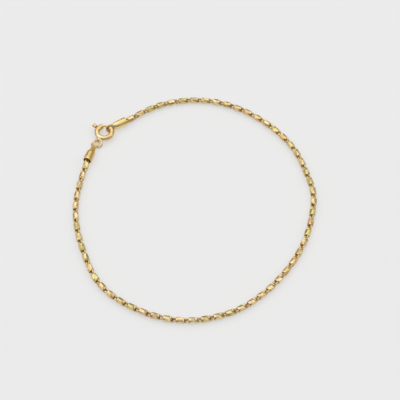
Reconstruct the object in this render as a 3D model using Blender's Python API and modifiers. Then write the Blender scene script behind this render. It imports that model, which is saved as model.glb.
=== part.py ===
# Fine gold chain bracelet, fastened and lying flat as a closed loop.
# Faceted barrel links, two bell-shaped end caps and a spring-ring clasp with a sliding trigger.
# Metres, +Z up. The origin is at the middle of the base, the wrist goes through along Z.

import math

import bmesh
import bpy
from mathutils import Matrix, Vector

MM = 0.001
WELD = 0.0005 * MM              # points nearer than this are one point
CUT_PAST = 0.2 * MM             # how far a cutter reaches past the surface that it cuts

# Chain: one link is a faceted barrel with a square wire loop at each end
LINK_PITCH = 2.90 * MM          # link and gap together, fitted to a whole number of links
LINK_HEIGHT = 1.50 * MM         # across two opposite flats
LINK_BODY_LENGTH = 1.74 * MM    # stretch of full section
LINK_TAPER_LENGTH = 0.14 * MM   # at each end of it
LINK_TIP_DIAMETER = 1.28 * MM
LINK_SIDES = 10
LOOP_WIRE = 0.34 * MM           # diameter of the loops' wire
LOOP_INNER_WIDTH = 0.46 * MM    # clear width inside a loop
LOOP_FUSE = 0.06 * MM           # overlap where two loops of one piece touch
LOOP_PLAY = 0.05 * MM           # gap where loops of two pieces meet
LOOP_WIRE_SIDES = 5

# Spring ring
RING_CENTRE = (-22.59 * MM, 20.72 * MM)
RING_MEAN_RADIUS = 1.90 * MM
RING_TUBE = 1.20 * MM           # outer diameter of the tube
RING_BORE = 0.70 * MM           # diameter inside the tube
RING_GAP_START = 62.0           # degrees about the ring's axis, the tube's two ends
RING_GAP_END = 104.0
SOCKET_DEPTH = 13.0             # degrees of bore that take the tongue's tip
TONGUE_ENTRY = 10.0             # degrees that the tip reaches into the socket
TONGUE_PLAY = 0.07 * MM         # radial gap between tongue and bore
KNOB_ANGLE = 142.0              # closed position
TONGUE_TAIL = 10.0              # degrees of tongue behind the knob
TRIGGER_TRAVEL = 52.0           # degrees from closed to open
SPRING_ROOM = 28.0              # degrees of bore left for the spring behind the open tongue
KNOB_STEM = 0.42 * MM           # diameter
KNOB_HEAD = 1.06 * MM           # diameter of the flared end
KNOB_RISE = 1.06 * MM           # from the tube's outer side to the flared end
SLOT_PLAY = 0.06 * MM           # gap on each side of the stem
BORE_PAST_END = 6.0             # degrees that the bore's cutter runs out of the tube's ends
RING_STEP = 12.0                # degrees between the sections of the tube and the tongue
KNOB_SIDES = 12
LOOP_SIDES = 16                 # round the eye and the caps' loops
LOOP_SECTION_SIDES = 8          # round their wire

# Eye soldered to the ring
EYE_ANGLE = 245.0               # degrees about the ring's axis
EYE_MEAN_RADIUS = 1.00 * MM
EYE_WIRE = 0.50 * MM
EYE_REACH = 3.45 * MM           # ring centre to eye centre, measured level
EYE_DROP = 0.44 * MM            # eye centre below the ring's plane
EYE_LEAN = 28.0                 # degrees that the eye slopes down from the ring
EYE_TWIST = -2.0                # degrees about its own reach
NECK_ROOT = 1.70 * MM           # width at the ring
NECK_TIP = 1.24 * MM            # width at the eye
NECK_FLATNESS = 0.55            # its height as a share of its width
NECK_SIDES = 12

# End caps
CAP_LOOP_MEAN_RADIUS = 0.94 * MM
CAP_LOOP_WIRE = 0.44 * MM
CATCH_CAP_REACH = 4.70 * MM     # loop centre to mouth, the free cap
EYE_CAP_REACH = 5.85 * MM       # loop centre to mouth, the cap on the eye
CAP_MOUTH_COVER = 0.16 * MM     # how far the mouth reaches past the chain's first joint
BELL_DIAMETER = 2.10 * MM
BELL_WALL = 0.20 * MM
BELL_DEPTH = 1.90 * MM          # of the hollow
CAP_NECK = 1.32 * MM            # width of the tab next to the loop
CAP_TAB_START = 0.80 * MM       # from the loop's centre, inside its wire
CAP_TAB_FLATNESS = 0.38         # the tab's thickness there as a share of its width
CAP_BAR = 0.16 * MM             # diameter of the cross bar that holds the chain
CAP_SIDES = 12
CHAIN_END_DROP = 0.16 * MM      # the chain's end sits this far below the cap's axis
LINKED_PLAY = 0.25 * MM         # level gap between the eye's wire and its cap's loop

CATCH_ANGLE = 40.0              # where the free cap's loop sits on the ring
CATCH_HEADING = 31.0            # direction from the ring to the chain, degrees from +X
CATCH_ROLL = 74.0               # the loop stands almost upright round the tube
EYE_CAP_HEADING = 253.0
EYE_CAP_ROLL = 19.0
EYE_CAP_LIFT = 0.33 * MM        # mouth axis above the bell's own radius, from its slope
EYE_CAP_LOOP_HEIGHT = 0.60 * MM
LINKED_HEADING = -1.0           # from the cap's loop to the eye, degrees from +X

# Chosen points of the chain's route on the surface, from the catch cap round to the eye cap.
# Its two ends come from the caps.
CHAIN_ROUTE_MM = [
    (-11.6, 28.0), (-6.2, 30.1), (-0.4, 30.9), (5.2, 30.4), (11.0, 28.4),
    (16.2, 25.2), (20.8, 21.2), (24.9, 15.8), (27.3, 9.7), (29.0, 2.9),
    (28.1, -4.1), (26.2, -10.2), (23.2, -15.8), (19.7, -20.3), (15.7, -24.3),
    (11.3, -27.5), (6.7, -29.4), (1.6, -30.6), (-3.7, -30.7), (-8.7, -29.7),
    (-13.9, -27.6), (-18.7, -24.6), (-22.9, -20.1), (-25.6, -14.1), (-27.6, -8.1),
    (-28.6, -1.3), (-28.0, 5.4),
]

ROUTE_STEPS = 16                # points on the smooth curve between two chosen points

# Knob profile from the stem to its end: share of the rise, share of the way from stem to head
KNOB_PROFILE = [
    ("stem end", 0.06, 0.00),
    ("collar", 0.10, 0.66),
    ("waist", 0.48, 0.60),
    ("flare", 0.80, 0.82),
    ("head", 0.92, 1.00),
    ("end", 1.00, 0.70),
]

# Bell profile from the tab to the mouth: distance from the mouth, share of the way from the
# tab's width to the bell's, thickness as a share of the width
BELL_PROFILE = [
    ("tab end", 3.60 * MM, 0.24, 0.76),
    ("shoulder", 3.00 * MM, 0.70, 0.96),
    ("bell", 2.10 * MM, 0.95, 1.00),
    ("belly", 0.80 * MM, 1.00, 1.00),
    ("rim", 0.0, 0.94, 1.00),
]

# Hollow of the bell from its mouth to its bottom: share of the depth, share of the mouth's radius
CAP_HOLLOW = [
    ("mouth", 0.0, 1.00),
    ("wall end", 0.8, 0.94),
    ("bottom", 1.0, 0.00),
]


# Small helpers

def polar(radius, degrees, height=0.0):
    angle = math.radians(degrees)
    return Vector((radius * math.cos(angle), radius * math.sin(angle), height))


def gold(name, colour, roughness):
    material = bpy.data.materials.new(name)
    material.use_nodes = True
    shader = material.node_tree.nodes["Principled BSDF"]
    shader.inputs["Base Color"].default_value = (*colour, 1.0)
    shader.inputs["Metallic"].default_value = 1.0
    shader.inputs["Roughness"].default_value = roughness
    material.diffuse_color = (*colour, 1.0)
    return material


def new_object(name, mesh, collection):
    item = bpy.data.objects.new(name, mesh)
    collection.objects.link(item)
    return item


def mesh_from(bm, name):
    bmesh.ops.recalc_face_normals(bm, faces=bm.faces[:])
    mesh = bpy.data.meshes.new(name)
    bm.to_mesh(mesh)
    bm.free()
    return mesh


def baked(item, name):
    # the evaluated mesh of an object, its caps welded and in world coordinates
    bpy.context.view_layer.update()
    graph = bpy.context.evaluated_depsgraph_get()
    mesh = bpy.data.meshes.new_from_object(item.evaluated_get(graph), depsgraph=graph)
    bm = bmesh.new()
    bm.from_mesh(mesh)
    bpy.data.meshes.remove(mesh)
    bmesh.ops.transform(bm, matrix=item.matrix_world, verts=bm.verts[:])
    bmesh.ops.remove_doubles(bm, verts=bm.verts[:], dist=WELD)
    return mesh_from(bm, name)


def tube_along(name, points, radii, resolution, collection):
    # a round solid with flat ends along a polyline, made a mesh so that it can be cut and joined
    curve = bpy.data.curves.new(name, "CURVE")
    curve.dimensions = "3D"
    curve.bevel_depth = 1.0
    curve.bevel_resolution = resolution
    curve.use_fill_caps = True
    spline = curve.splines.new("POLY")
    spline.points.add(len(points) - 1)
    for point, place, radius in zip(spline.points, points, radii):
        point.co = (*place, 1.0)
        point.radius = radius
    source = bpy.data.objects.new(name + "_curve", curve)
    collection.objects.link(source)
    mesh = baked(source, name)
    bpy.data.objects.remove(source)
    return new_object(name, mesh, collection)


def ring_arc(start, end):
    # points of an arc of the spring ring, in the ring's own frame
    count = max(2, round(abs(end - start) / RING_STEP))
    return [polar(RING_MEAN_RADIUS, start + (end - start) * i / count) for i in range(count + 1)]


def arc_tube(name, start, end, diameter, resolution, collection):
    points = ring_arc(start, end)
    return tube_along(name, points, [diameter / 2] * len(points), resolution, collection)


def add_boolean(item, cutter, operation):
    modifier = item.modifiers.new(operation.title() + " " + cutter.name, "BOOLEAN")
    modifier.operation = operation
    modifier.object = cutter
    modifier.solver = "EXACT"
    cutter.hide_render = True
    cutter.display_type = "WIRE"


def turned(name, profile, sides, collection):
    # a profile of (distance along X, radius) turned about the X axis
    bm = bmesh.new()
    verts = [bm.verts.new((along, 0.0, radius)) for along, radius in profile]
    for first, second in zip(verts, verts[1:]):
        bm.edges.new((first, second))
    mesh = bpy.data.meshes.new(name)
    bm.to_mesh(mesh)
    bm.free()
    item = new_object(name, mesh, collection)
    screw = item.modifiers.new("Turned", "SCREW")
    screw.axis = "X"
    screw.steps = sides
    screw.render_steps = sides
    screw.use_merge_vertices = True
    screw.merge_threshold = WELD
    return item


def solid_turned(name, profile, sides, collection):
    # the turned shape as a plain mesh, with one flat facing down
    source = turned(name + "_turned", profile, sides, collection)
    source.rotation_euler = (math.pi / sides, 0.0, 0.0)
    mesh = baked(source, name)
    bpy.data.objects.remove(source)
    return new_object(name, mesh, collection)


# Chain

def route_points(start, end):
    # a smooth curve through the chosen points, as closely spaced points
    chosen = [start] + [Vector((x * MM, y * MM, 0.0)) for x, y in CHAIN_ROUTE_MM] + [end]
    first = 2 * chosen[0] - chosen[1]
    last = 2 * chosen[-1] - chosen[-2]
    knots = [first] + chosen + [last]
    fine = []
    for a, b, c, d in zip(knots, knots[1:], knots[2:], knots[3:]):
        for i in range(ROUTE_STEPS):
            t = i / ROUTE_STEPS
            line = 2 * b + (c - a) * t
            square = (2 * a - 5 * b + 4 * c - d) * t ** 2
            cube = (3 * b - a - 3 * c + d) * t ** 3
            fine.append((line + square + cube) / 2)
    return fine + [chosen[-1]]


class Route:
    # stations along the chain's route, measured in metres from its start
    def __init__(self, start, end):
        flat = Vector((1.0, 1.0, 0.0))
        self.points = route_points(start * flat, end * flat)
        self.stations = [0.0]
        for a, b in zip(self.points, self.points[1:]):
            self.stations.append(self.stations[-1] + (b - a).length)
        self.length = self.stations[-1]
        self.end_heights = (start.z, end.z)

    def height(self, station, pitch):
        # the chain lies on the surface and rises into the caps over its first and last link
        at_start = station < self.length / 2
        near_end = (station if at_start else self.length - station) / pitch
        rise = min(1.0, max(0.0, 1.0 - near_end))
        end_height = self.end_heights[0 if at_start else 1]
        return LINK_HEIGHT / 2 + (end_height - LINK_HEIGHT / 2) * rise

    def at(self, station, pitch):
        i = 0
        while i < len(self.stations) - 2 and self.stations[i + 1] < station:
            i += 1
        span = self.stations[i + 1] - self.stations[i]
        share = (station - self.stations[i]) / span
        place = self.points[i].lerp(self.points[i + 1], share)
        return Vector((place.x, place.y, self.height(station, pitch)))


def square_loop(bm, root, tip, half_width, turn):
    # a U of mitred wire along +X, from the link's end to the loop's far bar, then turned
    rings = [
        (root, half_width, (0.0, 1.0)),
        (tip, half_width, (1.0, 1.0)),
        (tip, -half_width, (1.0, -1.0)),
        (root, -half_width, (0.0, -1.0)),
    ]
    loops = []
    for number, (x, y, side) in enumerate(rings):
        across = Vector((side[0], side[1], 0.0))
        up = Vector((0.0, 0.0, 1.0))
        along = across.cross(up)
        place = Matrix((
            (across.x, up.x, along.x, x),
            (across.y, up.y, along.y, y),
            (across.z, up.z, along.z, 0.0),
            (0.0, 0.0, 0.0, 1.0),
        ))
        made = bmesh.ops.create_circle(
            bm, cap_ends=number in (0, 3), segments=LOOP_WIRE_SIDES,
            radius=LOOP_WIRE / 2, matrix=turn @ place)
        loops.append(made["verts"])
    for first, second in zip(loops, loops[1:]):
        for i in range(LOOP_WIRE_SIDES):
            bm.faces.new((first[i - 1], first[i], second[i], second[i - 1]))


def link_solid(pitch, collection):
    # one link along X about its own middle, the +X loop level and the -X loop upright
    half_body = LINK_BODY_LENGTH / 2
    tip = half_body + LINK_TAPER_LENGTH
    radius = LINK_HEIGHT / 2 / math.cos(math.pi / LINK_SIDES)
    tip_radius = LINK_TIP_DIAMETER / 2
    profile = [
        (tip, 0.0), (tip, tip_radius), (half_body, radius),
        (-half_body, radius), (-tip, tip_radius), (-tip, 0.0),
    ]
    body = solid_turned("link_body", profile, LINK_SIDES, collection)
    reach = pitch / 2 + (LOOP_WIRE - LOOP_FUSE) / 2
    half_width = (LOOP_INNER_WIDTH + LOOP_WIRE) / 2
    bm = bmesh.new()
    level = Matrix.Identity(4)
    upright = Matrix.Rotation(math.pi, 4, "Z") @ Matrix.Rotation(math.pi / 2, 4, "X")
    square_loop(bm, half_body, reach, half_width, level)
    square_loop(bm, half_body, reach, half_width, upright)
    loops = new_object("link_loops", mesh_from(bm, "link_loops"), collection)
    add_boolean(body, loops, "UNION")
    mesh = baked(body, "link")
    bpy.data.objects.remove(body)
    bpy.data.objects.remove(loops)
    return mesh


def link_place(start, end):
    # a frame midway between two joints, X towards the second and Z up
    along = (end - start).normalized()
    side = Vector((0.0, 0.0, 1.0)).cross(along).normalized()
    up = along.cross(side)
    middle = (start + end) / 2
    return Matrix((
        (along.x, side.x, up.x, middle.x),
        (along.y, side.y, up.y, middle.y),
        (along.z, side.z, up.z, middle.z),
        (0.0, 0.0, 0.0, 1.0),
    ))


def placed_links(name, link, places, collection):
    bm = bmesh.new()
    for place in places:
        known = len(bm.verts)
        bm.from_mesh(link)
        bm.verts.ensure_lookup_table()
        bmesh.ops.transform(bm, matrix=place, verts=bm.verts[known:])
    return new_object(name, mesh_from(bm, name), collection)


def chain_half(name, route, start, end, count, parts, guides):
    # the links of one half, fused where their loops touch
    pitch = (end - start) / count
    joints = [route.at(start + i * pitch, LINK_PITCH) for i in range(count + 1)]
    link = link_solid(pitch, guides)
    places = [link_place(a, b) for a, b in zip(joints, joints[1:])]
    chain = placed_links(name, link, places[0::2], parts)
    others = placed_links(name + "_other_links", link, places[1::2], guides)
    add_boolean(chain, others, "UNION")
    bpy.data.meshes.remove(link)
    return chain


# Clasp

def torus(name, mean_radius, wire, place, collection):
    bpy.ops.mesh.primitive_torus_add(
        major_segments=LOOP_SIDES, minor_segments=LOOP_SECTION_SIDES,
        major_radius=mean_radius, minor_radius=wire / 2)
    item = bpy.context.active_object
    item.name = name
    for other in list(item.users_collection):
        other.objects.unlink(item)
    collection.objects.link(item)
    item.data.transform(place)
    return item


def slot_cutter(collection):
    # the arc-shaped opening in the tube's outer side that the knob's stem slides in
    stem_angle = math.degrees((KNOB_STEM / 2 + SLOT_PLAY) / RING_MEAN_RADIUS)
    start = KNOB_ANGLE - stem_angle
    sweep = TRIGGER_TRAVEL + 2 * stem_angle
    bm = bmesh.new()
    depth = RING_TUBE / 2 + CUT_PAST
    width = KNOB_STEM + 2 * SLOT_PLAY
    place = Matrix.Rotation(math.radians(start), 4, "Z")
    place @= Matrix.Translation((RING_MEAN_RADIUS + depth / 2, 0.0, 0.0))
    place @= Matrix.Rotation(math.pi / 2, 4, "X")
    place @= Matrix.Diagonal((depth, width, 1.0, 1.0))
    bmesh.ops.create_grid(bm, x_segments=1, y_segments=1, size=0.5, matrix=place)
    bmesh.ops.spin(
        bm, geom=bm.verts[:] + bm.edges[:] + bm.faces[:], angle=math.radians(sweep), steps=8,
        axis=(0.0, 0.0, 1.0), cent=(0.0, 0.0, 0.0))
    return new_object("slot_cutter", mesh_from(bm, "slot_cutter"), collection)


def eye_place():
    # the eye leans down from the ring to the surface
    heading = Matrix.Rotation(math.radians(EYE_ANGLE), 4, "Z")
    lean = Matrix.Rotation(math.radians(EYE_LEAN), 4, "Y")
    twist = Matrix.Rotation(math.radians(EYE_TWIST), 4, "X")
    middle = polar(EYE_REACH, EYE_ANGLE, -EYE_DROP)
    return Matrix.Translation(middle) @ heading @ lean @ twist


def spring_ring(parts, guides):
    # tube, neck and eye as one soldered piece, in a frame about the ring's axis
    body = arc_tube("spring_ring", RING_GAP_END, RING_GAP_START + 360.0, RING_TUBE, 4, parts)
    eye = torus("spring_ring_eye", EYE_MEAN_RADIUS, EYE_WIRE, eye_place(), guides)
    root = polar(RING_MEAN_RADIUS, EYE_ANGLE)
    near_eye = eye_place() @ Vector((-EYE_MEAN_RADIUS, 0.0, 0.0))
    half_neck = (near_eye - root).length / 2
    profile = [
        (half_neck, 0.0), (half_neck, NECK_TIP / 2), (-half_neck, NECK_ROOT / 2), (-half_neck, 0.0)]
    neck = solid_turned("spring_ring_neck", profile, NECK_SIDES, guides)
    flat = Matrix.Diagonal((1.0, 1.0, NECK_FLATNESS, 1.0))
    neck.data.transform(link_place(root, near_eye) @ flat)
    bore_end = KNOB_ANGLE + TONGUE_TAIL + TRIGGER_TRAVEL + SPRING_ROOM
    bore = arc_tube("spring_bore", RING_GAP_END - BORE_PAST_END, bore_end, RING_BORE, 2, guides)
    socket = arc_tube(
        "tongue_socket", RING_GAP_START - SOCKET_DEPTH, RING_GAP_START + BORE_PAST_END,
        RING_BORE, 2, guides)
    add_boolean(body, neck, "UNION")
    add_boolean(body, eye, "UNION")
    add_boolean(body, bore, "DIFFERENCE")
    add_boolean(body, socket, "DIFFERENCE")
    add_boolean(body, slot_cutter(guides), "DIFFERENCE")
    return body


def trigger(parts, guides):
    # the tongue that closes the ring, with the flared knob that slides it back
    diameter = RING_BORE - 2 * TONGUE_PLAY
    tongue = arc_tube(
        "trigger", RING_GAP_START - TONGUE_ENTRY, KNOB_ANGLE + TONGUE_TAIL, diameter, 2, parts)
    outside = RING_MEAN_RADIUS + RING_TUBE / 2
    profile = [(RING_MEAN_RADIUS, 0.0), (RING_MEAN_RADIUS, KNOB_STEM / 2)]
    for _, share, growth in KNOB_PROFILE:
        radius = (KNOB_STEM + (KNOB_HEAD - KNOB_STEM) * growth) / 2
        profile.append((outside + KNOB_RISE * share, radius))
    profile.append((outside + KNOB_RISE, 0.0))
    knob = solid_turned("trigger_knob", profile[::-1], KNOB_SIDES, guides)
    knob.data.transform(Matrix.Rotation(math.radians(KNOB_ANGLE), 4, "Z"))
    add_boolean(tongue, knob, "UNION")
    return tongue


def thickness_at(along, stations):
    # the thickness between the two stations nearest to a distance along the cap
    for near, far in zip(stations, stations[1:]):
        if along <= far[0]:
            step = max(0.0, (along - near[0]) / (far[0] - near[0]))
            return near[1] + (far[1] - near[1]) * step
    return stations[-1][1]


def end_cap(name, reach, loop_roll, bar_offset, bar_upright, parts, guides):
    # a bell that flattens to a tab with a loop, along X from the loop's centre to the mouth
    tab_radius = CAP_NECK / 2
    bell_radius = BELL_DIAMETER / 2
    outside = [(CAP_TAB_START, tab_radius)]
    stations = [(CAP_TAB_START, CAP_TAB_FLATNESS)]
    for _, from_mouth, growth, thickness in BELL_PROFILE:
        along = reach - from_mouth
        outside.append((along, tab_radius + (bell_radius - tab_radius) * growth))
        stations.append((along, thickness))
    mouth_radius = outside[-1][1] - BELL_WALL
    inside = [(reach - BELL_DEPTH * share, mouth_radius * width) for _, share, width in CAP_HOLLOW]
    profile = [(outside[0][0], 0.0)] + outside + inside
    body = solid_turned(name, profile[::-1], CAP_SIDES, parts)
    for vert in body.data.vertices:
        vert.co.z *= thickness_at(vert.co.x, stations)
    roll = Matrix.Rotation(math.radians(loop_roll), 4, "X")
    body.data.transform(roll)
    loop = torus(name + "_loop", CAP_LOOP_MEAN_RADIUS, CAP_LOOP_WIRE, roll, guides)
    joint = reach - CAP_MOUTH_COVER
    bar_x = joint + (CAP_BAR + LOOP_PLAY) / 2
    half_bar = math.sqrt((mouth_radius + BELL_WALL / 2) ** 2 - bar_offset ** 2)
    ends = [Vector((bar_x, -half_bar, bar_offset)), Vector((bar_x, half_bar, bar_offset))]
    if bar_upright:
        high = mouth_radius + BELL_WALL / 2
        ends = [Vector((bar_x, 0.0, -high)), Vector((bar_x, 0.0, high))]
    bar = tube_along(name + "_bar", ends, [CAP_BAR / 2] * 2, 1, guides)
    add_boolean(body, loop, "UNION")
    add_boolean(body, bar, "UNION")
    return body


def cap_place(loop_centre, reach, heading, mouth_height):
    # a cap's frame from its loop, its direction and the height of its mouth's axis
    slope = math.asin((mouth_height - loop_centre.z) / reach)
    turn = Matrix.Rotation(math.radians(heading), 4, "Z") @ Matrix.Rotation(-slope, 4, "Y")
    return Matrix.Translation(loop_centre) @ turn


def place_with_cutters(item, place):
    # an object and the pieces that its modifiers use move together
    item.matrix_world = place
    for modifier in item.modifiers:
        if modifier.type == "BOOLEAN":
            modifier.object.matrix_world = place


def build():
    for item in list(bpy.data.objects):
        bpy.data.objects.remove(item, do_unlink=True)
    parts = bpy.data.collections.new("bracelet")
    guides = bpy.data.collections.new("cutters")
    bpy.context.scene.collection.children.link(parts)
    bpy.context.scene.collection.children.link(guides)

    # Heights: the free cap's loop stands on the surface and the ring passes through its middle
    ring_height = CAP_LOOP_MEAN_RADIUS + CAP_LOOP_WIRE / 2
    bell_height = BELL_DIAMETER / 2
    ring_middle = Vector((RING_CENTRE[0], RING_CENTRE[1], ring_height))

    # The free cap sits on the ring's tube, and the other one is linked through the eye
    catch_loop = ring_middle + polar(RING_MEAN_RADIUS, CATCH_ANGLE)
    catch = cap_place(catch_loop, CATCH_CAP_REACH, CATCH_HEADING, bell_height)
    eye_middle = ring_middle + polar(EYE_REACH, EYE_ANGLE, -EYE_DROP)
    spacing = (EYE_WIRE + CAP_LOOP_WIRE) / 2 + LINKED_PLAY
    eye_loop = eye_middle - polar(spacing, LINKED_HEADING)
    eye_loop.z = EYE_CAP_LOOP_HEIGHT
    eye_cap = cap_place(eye_loop, EYE_CAP_REACH, EYE_CAP_HEADING, bell_height + EYE_CAP_LIFT)

    # The chain's two ends sit on the cross bars inside the caps
    start = catch @ Vector((CATCH_CAP_REACH - CAP_MOUTH_COVER, 0.0, 0.0))
    end = eye_cap @ Vector((EYE_CAP_REACH - CAP_MOUTH_COVER, 0.0, 0.0))
    start.z = bell_height - CHAIN_END_DROP
    end.z = bell_height + EYE_CAP_LIFT - CHAIN_END_DROP
    route = Route(start, end)
    count = round(route.length / LINK_PITCH)
    first_count = (count + 1) // 2
    middle = route.length * first_count / count
    extra = (LOOP_FUSE + LOOP_PLAY) / 2

    chain_far = chain_half(
        "chain_far_half", route, -extra, middle + extra, first_count, parts, guides)
    chain_near = chain_half(
        "chain_near_half", route, middle - extra, route.length + extra, count - first_count,
        parts, guides)

    ring = spring_ring(parts, guides)
    slider = trigger(parts, guides)
    place_with_cutters(ring, Matrix.Translation(ring_middle))
    place_with_cutters(slider, Matrix.Translation(ring_middle))

    catch_cap = end_cap(
        "catch_end_cap", CATCH_CAP_REACH, CATCH_ROLL, -CHAIN_END_DROP, False, parts, guides)
    place_with_cutters(catch_cap, catch)
    linked_cap = end_cap(
        "eye_end_cap", EYE_CAP_REACH, EYE_CAP_ROLL, -CHAIN_END_DROP, True, parts, guides)
    place_with_cutters(linked_cap, eye_cap)

    finishes = [
        (chain_far, "link gold", (0.83, 0.62, 0.24), 0.16),
        (chain_near, "link gold second half", (0.83, 0.62, 0.24), 0.16),
        (ring, "ring gold", (0.86, 0.61, 0.26), 0.14),
        (slider, "trigger gold", (0.84, 0.60, 0.25), 0.18),
        (catch_cap, "cap gold", (0.85, 0.60, 0.24), 0.12),
        (linked_cap, "cap gold second cap", (0.85, 0.60, 0.24), 0.12),
    ]
    for item, name, colour, roughness in finishes:
        item.data.materials.clear()
        item.data.materials.append(gold(name, colour, roughness))
    for item in (ring, slider, catch_cap, linked_cap):
        item.data.shade_smooth()
        item.data.set_sharp_from_angle(angle=math.radians(40))


build()
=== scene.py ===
# Fine gold chain bracelet, fastened and lying flat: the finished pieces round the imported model,
# with a pale studio floor, soft boxes and the camera.

import math
import random

import bmesh
import bpy
from mathutils import Matrix, Vector


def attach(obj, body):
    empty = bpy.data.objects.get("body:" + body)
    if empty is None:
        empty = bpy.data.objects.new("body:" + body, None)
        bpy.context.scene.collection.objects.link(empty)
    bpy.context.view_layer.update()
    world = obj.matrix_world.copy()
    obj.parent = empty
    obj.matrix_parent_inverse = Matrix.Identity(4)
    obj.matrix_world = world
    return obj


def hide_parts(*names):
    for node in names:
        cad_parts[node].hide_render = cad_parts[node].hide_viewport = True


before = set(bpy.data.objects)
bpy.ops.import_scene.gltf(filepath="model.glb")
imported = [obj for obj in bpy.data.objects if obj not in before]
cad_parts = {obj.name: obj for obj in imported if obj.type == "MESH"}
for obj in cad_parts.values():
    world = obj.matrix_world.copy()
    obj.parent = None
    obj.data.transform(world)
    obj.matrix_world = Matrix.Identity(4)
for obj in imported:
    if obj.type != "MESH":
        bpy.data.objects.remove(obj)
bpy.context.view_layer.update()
mm = 0.001
weld = 0.0005 * mm


# Colours, nodes and small mesh helpers

def linear(hexColour):
    # an sRGB hex colour as linear red, green, blue and alpha
    channels = [int(hexColour[i:i + 2], 16) / 255 for i in (1, 3, 5)]
    return [c / 12.92 if c <= 0.04045 else ((c + 0.055) / 1.055) ** 2.4 for c in channels] + [1.0]


def addNode(tree, kind, settings=None, links=None):
    # settings: property name or input name or number to value; links: input to an output socket
    node = tree.nodes.new(kind)
    for key, value in (settings or {}).items():
        if isinstance(key, str) and hasattr(node, key):
            setattr(node, key, value)
        else:
            node.inputs[key].default_value = value
    for key, socket in (links or {}).items():
        tree.links.new(socket, node.inputs[key])
    return node


def polar(radius, degrees, height=0.0):
    angle = math.radians(degrees)
    return Vector((radius * math.cos(angle), radius * math.sin(angle), height))


def finishedMesh(bm, name, sharpAngle=None):
    # closes the bmesh into a new object at the origin, faces outwards
    bmesh.ops.remove_doubles(bm, verts=bm.verts[:], dist=weld)
    bmesh.ops.recalc_face_normals(bm, faces=bm.faces[:])
    mesh = bpy.data.meshes.new(name)
    bm.to_mesh(mesh)
    bm.free()
    piece = bpy.data.objects.new(name, mesh)
    bpy.context.scene.collection.objects.link(piece)
    if sharpAngle is not None:
        mesh.shade_smooth()
        mesh.set_sharp_from_angle(angle=math.radians(sharpAngle))
    return piece


def applyModifiers(piece):
    # the evaluated mesh takes the place of the piece's own
    graph = bpy.context.evaluated_depsgraph_get()
    mesh = bpy.data.meshes.new_from_object(piece.evaluated_get(graph), depsgraph=graph)
    old = piece.data
    piece.modifiers.clear()
    piece.data = mesh
    bpy.data.meshes.remove(old)


def combine(piece, others, operation):
    for other in others:
        modifier = piece.modifiers.new(operation.title(), "BOOLEAN")
        modifier.operation = operation
        modifier.solver = "EXACT"
        modifier.object = other
    bpy.context.view_layer.update()
    applyModifiers(piece)
    for other in others:
        bpy.data.objects.remove(other)


def soldered(piece, voxel, passes):
    # melts the joined shapes into one skin with small fillets, as cast and polished metal has
    remesh = piece.modifiers.new("Skin", "REMESH")
    remesh.mode = "VOXEL"
    remesh.voxel_size = voxel
    smooth = piece.modifiers.new("Polish", "SMOOTH")
    smooth.factor = 0.5
    smooth.iterations = passes
    bpy.context.view_layer.update()
    applyModifiers(piece)
    piece.data.shade_smooth()


def edgesOf(verts):
    # each edge once, and in the same order every run
    return list(dict.fromkeys(edge for vert in verts for edge in vert.link_edges))


def spunProfile(bm, profile, sides):
    # a profile of (distance along X, radius) turned about X, all the way round
    verts = [bm.verts.new((along, 0.0, radius)) for along, radius in profile]
    edges = [bm.edges.new(pair) for pair in zip(verts, verts[1:])]
    bmesh.ops.spin(
        bm, geom=verts + edges, angle=math.tau, steps=sides, use_merge=True,
        axis=(1.0, 0.0, 0.0), cent=(0.0, 0.0, 0.0))


def ringOfWire(bm, meanRadius, wire, around, section, place):
    # a closed ring of round wire about Z, then put in its place
    known = set(bm.verts)
    upright = Matrix.Translation((meanRadius, 0.0, 0.0)) @ Matrix.Rotation(math.pi / 2, 4, "X")
    circle = bmesh.ops.create_circle(bm, segments=section, radius=wire / 2, matrix=upright)["verts"]
    edges = edgesOf(circle)
    bmesh.ops.spin(
        bm, geom=circle + edges, angle=math.tau, steps=around, use_merge=True,
        axis=(0.0, 0.0, 1.0), cent=(0.0, 0.0, 0.0))
    made = [vert for vert in bm.verts if vert not in known]
    bmesh.ops.transform(bm, matrix=place, verts=made)


# Sizes and places. The chain's route and the clasp's centre are the model's. Some of the metal is
# drawn fuller than the model's, or set a little differently, to fit the photo's outline.

clasp = {
    "centre": (-22.59 * mm, 20.72 * mm),
    "meanRadius": 1.86 * mm,
    "tube": 1.40 * mm,
    "bore": 0.70 * mm,
    "height": 1.16 * mm,
    "gapStart": 62.0, "gapEnd": 104.0,     # degrees round the ring
    "socketDepth": 13.0, "tongueEntry": 10.0, "tonguePlay": 0.07 * mm,
    "knobAngle": 142.0, "tongueTail": 10.0, "travel": 52.0, "springRoom": 28.0,
    "slotWidth": 0.54 * mm,
    "pastEnd": 6.0, "cutPast": 0.2 * mm,   # how far the cutters run out of the metal
    "skin": 0.036 * mm, "polish": 4,       # voxel of the soldered skin, passes of smoothing
}
knob = {
    "stem": 0.42 * mm, "head": 1.06 * mm, "rise": 1.06 * mm, "skin": 0.025 * mm, "polish": 3,
}
eye = {
    "angle": 245.0, "meanRadius": 1.00 * mm, "wire": 0.56 * mm, "reach": 3.45 * mm,
    "drop": 0.40 * mm, "lean": 28.0, "twist": -2.0, "neckRoot": 2.10 * mm, "neckTip": 1.50 * mm,
    "neckAngle": 237.0, "neckFlatness": 0.55,
}
cap = {
    "mouthCover": 0.16 * mm, "bell": 2.18 * mm, "wall": 0.20 * mm, "depth": 1.90 * mm,
    "tabStart": 0.80 * mm, "bar": 0.16 * mm, "chainDrop": 0.18 * mm,
    "rim": 0.94, "lip": 0.03 * mm,         # rim's share of the way to the bell, rounding inside it
    "skin": 0.036 * mm, "polish": 4,
}
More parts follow.
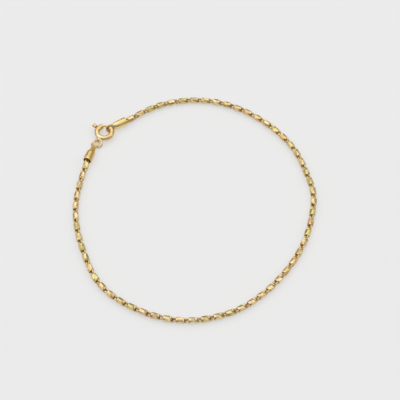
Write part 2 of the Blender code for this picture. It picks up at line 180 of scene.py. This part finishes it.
catchCap = {
    "reach": 4.50 * mm, "angle": 40.0, "heading": 31.0, "roll": 68.0, "lift": 0.0,
    "loopRadius": 1.00 * mm, "loopWire": 0.46 * mm, "tab": 1.70 * mm, "tabFlatness": 0.72,
}
eyeCap = {
    "reach": 5.85 * mm, "heading": 253.0, "roll": 19.0, "lift": 0.33 * mm,
    "loopRadius": 0.94 * mm, "loopWire": 0.50 * mm, "tab": 1.36 * mm, "tabFlatness": 0.38,
    "loopHeight": 0.60 * mm, "linked": -1.0, "fromEye": 0.72 * mm,
}
link = {
    "pitch": 2.90 * mm, "height": 1.50 * mm, "body": 1.76 * mm, "taper": 0.13 * mm,
    "tip": 1.34 * mm, "sides": 8, "wire": 0.44 * mm, "loopWidth": 0.48 * mm, "play": 0.05 * mm,
    "cutReach": 0.45, "cutTaper": 0.96, "cutTwist": 22.5, "cutDepth": 0.04 * mm,
    "cutDrift": 3,                         # drift along the link, in cut depths
    "cupDepth": 0.12 * mm, "cupFloor": 0.74, "cupMouth": 0.86,     # dished ends, shares of the tip
    "bevel": 0.022 * mm, "bevelFrom": 12, "shadeFrom": 9,          # degrees between two faces
    "wireSides": 12, "bendSteps": 10,
    "patterns": 7, "seed": 14, "roll": 45.0, "rollSpread": 12.0,   # degrees about the link
}
routeSteps = 16          # points on the curve between two chosen ones

# Chosen points of the chain's route in mm, from the catch cap round to the eye cap
chainRoute = [
    (-11.6, 28.0), (-6.2, 30.1), (-0.4, 30.9), (5.2, 30.4), (11.0, 28.4),
    (16.2, 25.2), (20.8, 21.2), (24.9, 15.8), (27.3, 9.7), (29.0, 2.9),
    (28.1, -4.1), (26.2, -10.2), (23.2, -15.8), (19.7, -20.3), (15.7, -24.3),
    (11.3, -27.5), (6.7, -29.4), (1.6, -30.6), (-3.7, -30.7), (-8.7, -29.7),
    (-13.9, -27.6), (-18.7, -24.6), (-22.9, -20.1), (-25.6, -14.1), (-27.6, -8.1),
    (-28.6, -1.3), (-28.0, 5.4),
]

ringMiddle = Vector((*clasp["centre"], clasp["height"]))
bellHeight = cap["bell"] / 2


def capPlace(loopCentre, which):
    slope = math.asin((bellHeight + which["lift"] - loopCentre.z) / which["reach"])
    turn = Matrix.Rotation(math.radians(which["heading"]), 4, "Z") @ Matrix.Rotation(-slope, 4, "Y")
    return Matrix.Translation(loopCentre) @ turn


catchPlace = capPlace(ringMiddle + polar(clasp["meanRadius"], catchCap["angle"]), catchCap)
eyeMiddle = ringMiddle + polar(eye["reach"], eye["angle"], -eye["drop"])
eyeLoop = eyeMiddle - polar(eyeCap["fromEye"], eyeCap["linked"])
eyeLoop.z = eyeCap["loopHeight"]
eyeCapPlace = capPlace(eyeLoop, eyeCap)


# The look of the metal

finish = {
    "toneStart": 0.38, "toneEnd": 0.62,            # where the deeper tint gives way to the paler
    "greenTint": "#D8C784",
    "smoothest": 0.7, "roughest": 1.35,            # shares of the roughness
    "grainStrength": 0.35, "cutStrength": 0.30,
}


def goldSurface(
        name, colour, deepColour, patchSize, roughness, grainSize, grainDepth,
        cutSize=None, paintedShade=None):
    # polished yellow gold: a mirror with a warm tint that deepens a little from patch to patch,
    # fine polishing grain, and on cut faces the faint steps that the cutting wheel leaves.
    # the last argument is the colour of painted shade in the links' dished ends and, faintly, on their
    # wire loops, where the mesh marks them
    material = bpy.data.materials.new(name)
    material.use_nodes = True
    tree = material.node_tree
    shader = tree.nodes["Principled BSDF"]
    place = addNode(tree, "ShaderNodeTexCoord").outputs["Object"]
    cloud = addNode(
        tree, "ShaderNodeTexNoise", {"Scale": 1 / patchSize, "Detail": 3.0, "Roughness": 0.6},
        {"Vector": place})
    tone = addNode(tree, "ShaderNodeValToRGB", {}, {"Fac": cloud.outputs["Fac"]})
    tone.color_ramp.elements[0].position = finish["toneStart"]
    tone.color_ramp.elements[0].color = linear(deepColour)
    tone.color_ramp.elements[1].position = finish["toneEnd"]
    tone.color_ramp.elements[1].color = linear(colour)
    tint = tone.outputs["Color"]
    if paintedShade:
        # each link is a little greener or redder than the next
        green = addNode(tree, "ShaderNodeAttribute", {"attribute_name": "greenness"})
        greener = addNode(
            tree, "ShaderNodeMix", {"data_type": "RGBA", 7: linear(finish["greenTint"])},
            {0: green.outputs["Fac"], 6: tint})
        # painted shade: the dished link ends, and faintly the wire loops, are darkened towards the
        # painted-shade colour where the mesh marks them
        paintedShadeMarks = addNode(tree, "ShaderNodeAttribute", {"attribute_name": "paintedShade"})
        darker = addNode(
            tree, "ShaderNodeMix", {"data_type": "RGBA", 7: linear(paintedShade)},
            {0: paintedShadeMarks.outputs["Fac"], 6: greener.outputs[2]})
        tint = darker.outputs[2]
    tree.links.new(tint, shader.inputs["Base Color"])
    shader.inputs["Metallic"].default_value = 1.0
    grain = addNode(
        tree, "ShaderNodeTexNoise", {"Scale": 1 / grainSize, "Detail": 4.0, "Roughness": 0.65},
        {"Vector": place})
    spread = addNode(
        tree, "ShaderNodeMapRange",
        {"From Min": 0.3, "From Max": 0.7, "To Min": roughness * finish["smoothest"],
         "To Max": roughness * finish["roughest"]},
        {"Value": grain.outputs["Fac"]})
    tree.links.new(spread.outputs["Result"], shader.inputs["Roughness"])
    bump = addNode(
        tree, "ShaderNodeBump", {"Strength": finish["grainStrength"], "Distance": grainDepth},
        {"Height": grain.outputs["Fac"]})
    normal = bump.outputs["Normal"]
    if cutSize:
        steps = addNode(
            tree, "ShaderNodeTexVoronoi", {"feature": "F1", "Scale": 1 / cutSize, "Randomness": 1.0},
            {"Vector": place})
        cuts = addNode(
            tree, "ShaderNodeBump",
            {"Strength": finish["cutStrength"], "Distance": grainDepth * 3},
            {"Height": steps.outputs["Distance"], "Normal": normal})
        normal = cuts.outputs["Normal"]
    tree.links.new(normal, shader.inputs["Normal"])
    return material


# 14 carat yellow gold, faces cut with a diamond wheel: flat bright mirrors with crisp edges; the last
# colour is painted shade for the dished link ends and the wire loops
diamondCutGold = goldSurface(
    "diamond_cut_14k_yellow_gold", "#EFDDB7", "#D9B174", 1.5 * mm, 0.22, 0.12 * mm, 0.004 * mm,
    0.8 * mm, "#C0965E")
# 14 carat yellow gold, cast and tumbled: smooth soft-edged gloss on the clasp
tumbledGold = goldSurface(
    "cast_tumbled_14k_yellow_gold", "#F2DFB8", "#E0BE82", 4.0 * mm, 0.30, 0.20 * mm, 0.0015 * mm)
# 14 carat yellow gold sheet, drawn into a bell and buffed: a little redder in its depth
buffedGold = goldSurface(
    "buffed_14k_yellow_gold_sheet", "#F1DC9F", "#DDB96E", 3.5 * mm, 0.31, 0.25 * mm, 0.0015 * mm)
# 14 carat yellow gold wire, drawn and polished: the tongue and its knob
drawnGold = goldSurface(
    "drawn_14k_yellow_gold_wire", "#EFCE98", "#DFB57C", 2.5 * mm, 0.26, 0.15 * mm, 0.0015 * mm)
print("materials ready")


# Chain

def smoothRoute(start, end):
    # a smooth curve through the chosen points, as closely spaced points
    chosen = [start] + [Vector((x * mm, y * mm, 0.0)) for x, y in chainRoute] + [end]
    knots = [2 * chosen[0] - chosen[1]] + chosen + [2 * chosen[-1] - chosen[-2]]
    fine = []
    for a, b, c, d in zip(knots, knots[1:], knots[2:], knots[3:]):
        for i in range(routeSteps):
            t = i / routeSteps
            fine.append((
                2 * b + (c - a) * t + (2 * a - 5 * b + 4 * c - d) * t ** 2
                + (3 * b - a - 3 * c + d) * t ** 3) / 2)
    return fine + [chosen[-1]]


def chainJoints():
    # the points where one link's loop crosses the next one's
    start = catchPlace @ Vector((catchCap["reach"] - cap["mouthCover"], 0.0, 0.0))
    end = eyeCapPlace @ Vector((eyeCap["reach"] - cap["mouthCover"], 0.0, 0.0))
    points = smoothRoute(Vector((start.x, start.y, 0.0)), Vector((end.x, end.y, 0.0)))
    stations = [0.0]
    for a, b in zip(points, points[1:]):
        stations.append(stations[-1] + (b - a).length)
    length = stations[-1]
    count = round(length / link["pitch"])
    low = link["height"] / 2
    joints = []
    for number in range(count + 1):
        station = length * number / count
        i = max(j for j in range(len(stations) - 1) if stations[j] <= station)
        share = (station - stations[i]) / (stations[i + 1] - stations[i])
        place = points[i].lerp(points[i + 1], share)
        rise = max(0.0, 1.0 - min(station, length - station) / link["pitch"])
        which = catchCap if station < length / 2 else eyeCap
        high = bellHeight + which["lift"] - cap["chainDrop"]
        joints.append(Vector((place.x, place.y, low + (high - low) * rise)))
    return joints


def linkLoop(bm, reach, turn):
    # half a ring of round wire with two straight legs that run into the link's end
    known = set(bm.verts)
    width = (link["loopWidth"] + link["wire"]) / 2
    root = link["body"] / 2
    bend = reach - width
    start = Matrix.Translation((root, width, 0.0)) @ Matrix.Rotation(math.pi / 2, 4, "Y")
    circle = bmesh.ops.create_circle(
        bm, segments=link["wireSides"], radius=link["wire"] / 2, matrix=start)["verts"]
    edges = edgesOf(circle)
    made = bmesh.ops.extrude_edge_only(bm, edges=edges)["geom"]
    tip = [item for item in made if isinstance(item, bmesh.types.BMVert)]
    bmesh.ops.translate(bm, verts=tip, vec=(bend - root, 0.0, 0.0))
    tipEdges = [item for item in made if isinstance(item, bmesh.types.BMEdge)]
    turned = bmesh.ops.spin(
        bm, geom=tip + tipEdges, angle=-math.pi, steps=link["bendSteps"],
        axis=(0.0, 0.0, 1.0), cent=(bend, 0.0, 0.0))["geom_last"]
    lastEdges = [item for item in turned if isinstance(item, bmesh.types.BMEdge)]
    made = bmesh.ops.extrude_edge_only(bm, edges=lastEdges)["geom"]
    leg = [item for item in made if isinstance(item, bmesh.types.BMVert)]
    bmesh.ops.translate(bm, verts=leg, vec=(root - bend, 0.0, 0.0))
    verts = [vert for vert in bm.verts if vert not in known]
    rims = [edge for edge in edgesOf(verts) if edge.is_boundary]
    bmesh.ops.holes_fill(bm, edges=rims)
    bmesh.ops.transform(bm, matrix=turn, verts=verts)


def linkMesh(pitch, chance):
    # a barrel with hand-cut faces, bevelled edges and dished ends, and a loop at each end that is
    # turned a quarter from the other
    bm = bmesh.new()
    sides = link["sides"]
    apothem = link["height"] / 2
    radius = apothem / math.cos(math.pi / sides)
    half = link["body"] / 2
    end = half + link["taper"]
    tip = link["tip"] / 2
    profile = [
        (end - link["cupDepth"], 0.0), (end - link["cupDepth"], tip * link["cupFloor"]),
        (end, tip * link["cupMouth"]), (end, tip),
        (half, radius * link["cutTaper"]), (half * link["cutReach"], radius),
    ]
    profile += [(-along, reach) for along, reach in reversed(profile)]
    spunProfile(bm, profile, sides)
    bmesh.ops.triangulate(bm, faces=[
        face for face in bm.faces
        if max(abs(vert.co.x) for vert in face.verts) <= half + weld and len(face.verts) == 4])
    twisted = [vert for vert in bm.verts if abs(vert.co.x) <= half * link["cutReach"] + weld]
    bmesh.ops.rotate(
        bm, verts=twisted, cent=(0, 0, 0),
        matrix=Matrix.Rotation(math.radians(link["cutTwist"]), 3, "X"))
    bmesh.ops.rotate(
        bm, verts=bm.verts[:], matrix=Matrix.Rotation(math.pi / sides, 3, "X"), cent=(0, 0, 0))
    bmesh.ops.remove_doubles(bm, verts=bm.verts[:], dist=weld)
    for vert in bm.verts:
        if abs(vert.co.x) <= half + weld:
            reach = vert.co.yz.length - chance.uniform(0.0, link["cutDepth"])
            vert.co.yz = vert.co.yz.normalized() * reach
            if abs(vert.co.x) < half * 0.9:
                vert.co.x += chance.uniform(-1.0, 1.0) * link["cutDepth"] * link["cutDrift"]
    sharp = [
        edge for edge in bm.edges
        if len(edge.link_faces) == 2 and edge.calc_face_angle(0.0) > math.radians(link["bevelFrom"])
        and max(abs(vert.co.yz.length) for vert in edge.verts) > tip * 0.99]
    bmesh.ops.bevel(
        bm, geom=sharp, offset=link["bevel"], offset_type="OFFSET", segments=2, profile=0.5,
        affect="EDGES", clamp_overlap=True, material=-1)
    reach = pitch / 2 + link["wire"] / 2
    linkLoop(bm, reach, Matrix.Identity(4))
    linkLoop(
        bm, reach, Matrix.Rotation(math.pi, 4, "Z") @ Matrix.Rotation(math.pi / 2, 4, "X"))
    bmesh.ops.recalc_face_normals(bm, faces=bm.faces[:])
    # painted shade: marks the dished ends fully and the wire loops faintly, for the material to darken
    # them
    paintedShade = bm.verts.layers.float.new("paintedShade")
    bm.verts.layers.float.new("greenness")
    for vert in bm.verts:
        inEnd = half < abs(vert.co.x) < end + weld and vert.co.yz.length < tip * 0.97
        onLoop = abs(vert.co.x) > end + weld
        vert[paintedShade] = 1.0 if inEnd else 0.1 if onLoop else 0.0
    mesh = bpy.data.meshes.new("link")
    bm.to_mesh(mesh)
    bm.free()
    return mesh


def layLinks(name, joints, numbers, meshes, chance):
    # one link midway between each two joints, rolled a little and set down on the floor
    bm = bmesh.new()
    for number in numbers:
        start, end = joints[number], joints[number + 1]
        along = (end - start).normalized()
        side = Vector((0.0, 0.0, 1.0)).cross(along).normalized()
        up = along.cross(side)
        turn = Matrix((along, side, up)).transposed().to_4x4()
        spread = chance.uniform(-link["rollSpread"], link["rollSpread"])
        roll = Matrix.Rotation(math.radians(link["roll"] + spread), 4, "X")
        known = len(bm.verts)
        bm.from_mesh(chance.choice(meshes))
        bm.verts.ensure_lookup_table()
        verts = bm.verts[known:]
        greenness = chance.random() ** 2
        for vert in verts:
            vert[bm.verts.layers.float["greenness"]] = greenness
        bmesh.ops.transform(
            bm, matrix=Matrix.Translation((start + end) / 2) @ turn @ roll, verts=verts)
        lift = max(0.0, -min(vert.co.z for vert in verts))
        bmesh.ops.translate(bm, verts=verts, vec=(0.0, 0.0, lift))
    return finishedMesh(bm, name, link["shadeFrom"])


joints = chainJoints()
count = len(joints) - 1
farCount = (count + 1) // 2
chance = random.Random(link["seed"])
linkShapes = [
    linkMesh((joints[1] - joints[0]).length, chance) for _ in range(link["patterns"])]
farLinks = layLinks("farLinks", joints, range(farCount), linkShapes, chance)
nearLinks = layLinks("nearLinks", joints, range(farCount, count), linkShapes, chance)
for shape in linkShapes:
    bpy.data.meshes.remove(shape)
for piece, node, slot in (
        (farLinks, "chain_far_half", "chain_far_gold"),
        (nearLinks, "chain_near_half", "chain_near_gold")):
    piece.data.materials.append(diamondCutGold)
    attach(piece, "bracelet")
    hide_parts(node)
print("chain:", count, "links")


# Spring ring

def ringTube(name, start, end, diameter, section):
    # a stretch of the ring's tube or of the hole in it, closed at both ends, about the origin
    bm = bmesh.new()
    upright = (
        Matrix.Rotation(math.radians(start), 4, "Z")
        @ Matrix.Translation((clasp["meanRadius"], 0.0, 0.0)) @ Matrix.Rotation(math.pi / 2, 4, "X"))
    circle = bmesh.ops.create_circle(
        bm, segments=section, radius=diameter / 2, matrix=upright)["verts"]
    edges = edgesOf(circle)
    steps = max(4, round(abs(end - start) / 4))
    bmesh.ops.spin(
        bm, geom=circle + edges, angle=math.radians(end - start), steps=steps,
        axis=(0.0, 0.0, 1.0), cent=(0.0, 0.0, 0.0))
    bmesh.ops.holes_fill(bm, edges=[edge for edge in bm.edges if edge.is_boundary])
    return finishedMesh(bm, name)


def knobSlot():
    # the long opening in the tube's outer side that the knob slides along
    bm = bmesh.new()
    stemAngle = math.degrees(clasp["slotWidth"] / 2 / clasp["meanRadius"])
    depth = clasp["tube"] / 2 + clasp["cutPast"]
    start = clasp["knobAngle"] - stemAngle
    place = (
        Matrix.Rotation(math.radians(start), 4, "Z")
        @ Matrix.Translation((clasp["meanRadius"] + depth / 2, 0.0, 0.0))
        @ Matrix.Rotation(math.pi / 2, 4, "X") @ Matrix.Diagonal((depth, clasp["slotWidth"], 1, 1)))
    bmesh.ops.create_grid(bm, x_segments=1, y_segments=1, size=0.5, matrix=place)
    bmesh.ops.spin(
        bm, geom=bm.verts[:] + bm.edges[:] + bm.faces[:],
        angle=math.radians(clasp["travel"] + 2 * stemAngle), steps=16,
        axis=(0.0, 0.0, 1.0), cent=(0.0, 0.0, 0.0))
    return finishedMesh(bm, "knobSlot")


def coneBetween(name, start, end, startRadius, endRadius, flatness=1.0):
    # a round or flattened taper, its flat side level
    bm = bmesh.new()
    along = end - start
    place = (
        Matrix.Translation((start + end) / 2) @ along.to_track_quat("Z", "Y").to_matrix().to_4x4()
        @ Matrix.Diagonal((1.0, flatness, 1.0, 1.0)))
    bmesh.ops.create_cone(
        bm, cap_ends=True, segments=32, radius1=startRadius, radius2=endRadius,
        depth=along.length, matrix=place)
    return finishedMesh(bm, name)


def makeSpringRing():
    ring = ringTube("springRing", clasp["gapEnd"], clasp["gapStart"] + 360.0, clasp["tube"], 40)
    eyeTurn = (
        Matrix.Translation(polar(eye["reach"], eye["angle"], -eye["drop"]))
        @ Matrix.Rotation(math.radians(eye["angle"]), 4, "Z")
        @ Matrix.Rotation(math.radians(eye["lean"]), 4, "Y")
        @ Matrix.Rotation(math.radians(eye["twist"]), 4, "X"))
    bm = bmesh.new()
    ringOfWire(bm, eye["meanRadius"], eye["wire"], 48, 20, eyeTurn)
    eyeRing = finishedMesh(bm, "eyeRing")
    root = polar(clasp["meanRadius"], eye["neckAngle"])
    nearEye = eyeTurn @ Vector((-eye["meanRadius"], 0.0, 0.0))
    neck = coneBetween(
        "neck", root, nearEye, eye["neckRoot"] / 2, eye["neckTip"] / 2, eye["neckFlatness"])
    combine(ring, [neck, eyeRing], "UNION")
    boreEnd = clasp["knobAngle"] + clasp["tongueTail"] + clasp["travel"] + clasp["springRoom"]
    bore = ringTube("bore", clasp["gapEnd"] - clasp["pastEnd"], boreEnd, clasp["bore"], 24)
    socket = ringTube(
        "socket", clasp["gapStart"] - clasp["socketDepth"],
        clasp["gapStart"] + clasp["pastEnd"], clasp["bore"], 24)
    combine(ring, [bore, socket, knobSlot()], "DIFFERENCE")
    ring.data.transform(Matrix.Translation(ringMiddle))
    soldered(ring, clasp["skin"], clasp["polish"])
    return ring


# The knob's outline from the tube outwards: share of the rise, share of the way from stem to head
knobOutline = [
    (0.06, 0.00), (0.08, 0.66), (0.14, 0.82), (0.28, 0.78), (0.46, 0.74), (0.62, 0.78),
    (0.78, 0.88), (0.88, 0.98), (0.94, 1.00), (0.98, 0.92), (1.00, 0.74),
]


def makeTrigger():
    diameter = clasp["bore"] - 2 * clasp["tonguePlay"]
    tongue = ringTube(
        "trigger", clasp["gapStart"] - clasp["tongueEntry"],
        clasp["knobAngle"] + clasp["tongueTail"], diameter, 24)
    outside = clasp["meanRadius"] + clasp["tube"] / 2
    stem, head, rise = knob["stem"] / 2, knob["head"] / 2, knob["rise"]
    profile = [(clasp["meanRadius"], 0.0), (clasp["meanRadius"], stem)]
    profile += [
        (outside + rise * share, stem + (head - stem) * growth) for share, growth in knobOutline]
    profile.append((outside + rise, 0.0))
    bm = bmesh.new()
    spunProfile(bm, profile, 32)
    head = finishedMesh(bm, "knob")
    head.data.transform(Matrix.Rotation(math.radians(clasp["knobAngle"]), 4, "Z"))
    combine(tongue, [head], "UNION")
    tongue.data.transform(Matrix.Translation(ringMiddle))
    soldered(tongue, knob["skin"], knob["polish"])
    return tongue


springRing = makeSpringRing()
springRing.data.materials.append(tumbledGold)
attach(springRing, "bracelet")
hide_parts("spring_ring")

triggerPiece = makeTrigger()
triggerPiece.name = "knobAndTongue"
triggerPiece.data.materials.append(drawnGold)
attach(triggerPiece, "trigger")
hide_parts("trigger")
print("clasp:", len(springRing.data.polygons), "and", len(triggerPiece.data.polygons), "faces")


# End caps

# Half a bell's outline from the tab to the mouth: mm from the mouth, share of the way from the
# tab's width to the bell's, thickness as a share of the width
bellOutline = [
    (3.60, 0.24, 0.76), (3.30, 0.47, 0.87), (3.00, 0.70, 0.96), (2.70, 0.83, 0.98),
    (2.40, 0.91, 1.00), (2.10, 0.95, 1.00), (1.45, 0.985, 1.00), (0.80, 1.00, 1.00),
    (0.35, 0.98, 1.00), (0.08, 0.95, 1.00),
]
# Its hollow from the mouth inwards: share of the depth, share of the mouth's radius
bellHollow = [(0.5, 0.98), (0.8, 0.90), (1.0, 0.5), (1.0, 0.0)]


def thicknessAt(along, stations):
    for near, far in zip(stations, stations[1:]):
        if along <= far[0]:
            return near[1] + (far[1] - near[1]) * max(0.0, (along - near[0]) / (far[0] - near[0]))
    return stations[-1][1]


def makeCap(name, which, place, barUpright):
    neck, bell, reach, loopRoll = which["tab"] / 2, cap["bell"] / 2, which["reach"], which["roll"]
    outside = [(cap["tabStart"], neck)]
    outside += [
        (reach - fromMouth * mm, neck + (bell - neck) * growth)
        for fromMouth, growth, _ in bellOutline]
    stations = [(cap["tabStart"], which["tabFlatness"])]
    stations += [(reach - fromMouth * mm, thickness) for fromMouth, _, thickness in bellOutline]
    mouth = neck + (bell - neck) * cap["rim"] - cap["wall"]
    rim = [(reach, mouth + cap["wall"] * 0.75), (reach, mouth + cap["wall"] * 0.25)]
    inside = [(reach - cap["lip"], mouth)]
    inside += [(reach - cap["depth"] * share, mouth * width) for share, width in bellHollow]
    bm = bmesh.new()
    spunProfile(bm, [(outside[0][0], 0.0)] + outside + rim + inside, 48)
    for vert in bm.verts:
        vert.co.z *= thicknessAt(vert.co.x, stations)
    bmesh.ops.rotate(
        bm, verts=bm.verts[:], cent=(0, 0, 0),
        matrix=Matrix.Rotation(math.radians(loopRoll), 3, "X"))
    body = finishedMesh(bm, name)
    bm = bmesh.new()
    ringOfWire(
        bm, which["loopRadius"], which["loopWire"], 48, 20,
        Matrix.Rotation(math.radians(loopRoll), 4, "X"))
    loop = finishedMesh(bm, "loop")
    barX = reach - cap["mouthCover"] + (cap["bar"] + link["play"]) / 2
    high = mouth + cap["wall"] / 2
    if barUpright:
        ends = [Vector((barX, 0.0, -high)), Vector((barX, 0.0, high))]
    else:
        half = math.sqrt(high ** 2 - cap["chainDrop"] ** 2)
        ends = [Vector((barX, y, -cap["chainDrop"])) for y in (-half, half)]
    bar = coneBetween("bar", *ends, cap["bar"] / 2, cap["bar"] / 2)
    combine(body, [loop, bar], "UNION")
    body.data.transform(place)
    soldered(body, cap["skin"], cap["polish"])
    body.data.materials.append(buffedGold)
    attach(body, "bracelet")
    return body


catchEndCap = makeCap("catchEndCap", catchCap, catchPlace, False)
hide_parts("catch_end_cap")
eyeEndCap = makeCap("eyeEndCap", eyeCap, eyeCapPlace, True)
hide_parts("eye_end_cap")
print("caps:", len(catchEndCap.data.polygons), "and", len(eyeEndCap.data.polygons), "faces")


# Floor, light and camera

studio = {
    "floorColour": "#A8A8A8", "floorGlow": 1.26, "floorSize": 2.4,
    "zenith": 0.84, "dome": 0.72, "band": 0.25, "horizon": 0.34, "front": 0.42,
    "keyPower": 4.4, "keySize": 1.5, "keyDistance": 1.3, "keyElevation": 62.0, "keyAzimuth": 100.0,
    "sideAzimuths": {"leftBox": 185.0, "rightBox": -5.0}, "sideElevation": 40.0,
    "sideDistance": 1.2, "sideWidth": 0.35, "sideHeight": 0.8, "sidePower": 0.8,
}
photoView = {
    "aim": (1.4 * mm, 1.6 * mm, 0.0), "elevation": 59.12, "distance": 263.4 * mm,
    "halfField": 10.45,
}


def makeFloor():
    # matt studio card that shows as pale because it glows, as on a light table
    bm = bmesh.new()
    bmesh.ops.create_grid(bm, x_segments=1, y_segments=1, size=studio["floorSize"] / 2)
    floor = finishedMesh(bm, "floor")
    floor.data.transform(Matrix.Translation((0.0, 0.0, -0.01 * mm)))
    card = bpy.data.materials.new("matt_white_studio_card")
    card.use_nodes = True
    shader = card.node_tree.nodes["Principled BSDF"]
    shader.inputs["Base Color"].default_value = linear(studio["floorColour"])
    shader.inputs["Emission Color"].default_value = linear(studio["floorColour"])
    shader.inputs["Emission Strength"].default_value = studio["floorGlow"]
    shader.inputs["Roughness"].default_value = 0.9
    shader.inputs["Specular IOR Level"].default_value = 0.1
    floor.data.materials.append(card)


def softBox(name, azimuth, elevation, distance, width, height, power):
    # azimuth from +X about Z; the box faces the bracelet
    light = bpy.data.lights.new(name, "AREA")
    light.shape = "RECTANGLE"
    light.size = width
    light.size_y = height
    light.energy = power
    lamp = bpy.data.objects.new(name, light)
    bpy.context.scene.collection.objects.link(lamp)
    flat = math.cos(math.radians(elevation)) * distance
    lamp.location = polar(flat, azimuth, math.sin(math.radians(elevation)) * distance)
    lamp.rotation_euler = (-lamp.location).to_track_quat("-Z", "Y").to_euler()


def makeWorld():
    # a dim horizon, a dimmer band of room above it and a pale dome, less bright towards -Y
    world = bpy.data.worlds.new("studio")
    world.use_nodes = True
    tree = world.node_tree
    back = tree.nodes["Background"]
    heading = addNode(tree, "ShaderNodeTexCoord").outputs["Generated"]
    axes = addNode(tree, "ShaderNodeSeparateXYZ", {}, {0: heading})
    ramp = addNode(tree, "ShaderNodeValToRGB", {}, {"Fac": axes.outputs["Z"]})
    stops = [
        (0.0, studio["horizon"]), (0.16, studio["horizon"]), (0.24, studio["band"]),
        (0.55, studio["dome"]), (1.0, studio["zenith"])]
    elements = ramp.color_ramp.elements
    while len(elements) < len(stops):
        elements.new(0.5)
    for element, (position, level) in zip(elements, stops):
        element.position = position
        element.color = (level, level, level, 1.0)
    front = addNode(
        tree, "ShaderNodeMapRange",
        {"From Min": -0.25, "From Max": -0.75, "To Min": 1.0, "To Max": studio["front"]},
        {"Value": axes.outputs["Y"]})
    aboveHorizon = addNode(
        tree, "ShaderNodeMapRange", {"From Min": 0.16, "From Max": 0.26}, {"Value": axes.outputs["Z"]})
    shade = addNode(
        tree, "ShaderNodeMix", {"data_type": "FLOAT", "A": 1.0},
        {"Factor": aboveHorizon.outputs["Result"], "B": front.outputs["Result"]})
    level = addNode(
        tree, "ShaderNodeVectorMath", {"operation": "SCALE"},
        {"Vector": ramp.outputs["Color"], "Scale": shade.outputs[0]})
    tree.links.new(level.outputs[0], back.inputs["Color"])
    bpy.context.scene.world = world


def makeCamera():
    camera = bpy.data.cameras.new("camera")
    camera.sensor_width = 36.0
    camera.lens = 18.0 / math.tan(math.radians(photoView["halfField"]))
    camera.clip_start = 0.01
    eyePoint = bpy.data.objects.new("camera", camera)
    bpy.context.scene.collection.objects.link(eyePoint)
    tilt = math.radians(photoView["elevation"])
    back = Vector((0.0, -math.cos(tilt), math.sin(tilt)))
    eyePoint.location = Vector(photoView["aim"]) + back * photoView["distance"]
    eyePoint.rotation_euler = (math.pi / 2 - tilt, 0.0, 0.0)
    bpy.context.scene.camera = eyePoint


makeFloor()
makeWorld()
softBox(
    "keyBox", studio["keyAzimuth"], studio["keyElevation"], studio["keyDistance"],
    studio["keySize"], studio["keySize"], studio["keyPower"])
for name, azimuth in studio["sideAzimuths"].items():
    softBox(
        name, azimuth, studio["sideElevation"], studio["sideDistance"],
        studio["sideWidth"], studio["sideHeight"], studio["sidePower"])
makeCamera()
bpy.context.scene.view_settings.view_transform = "Standard"
print("studio ready")
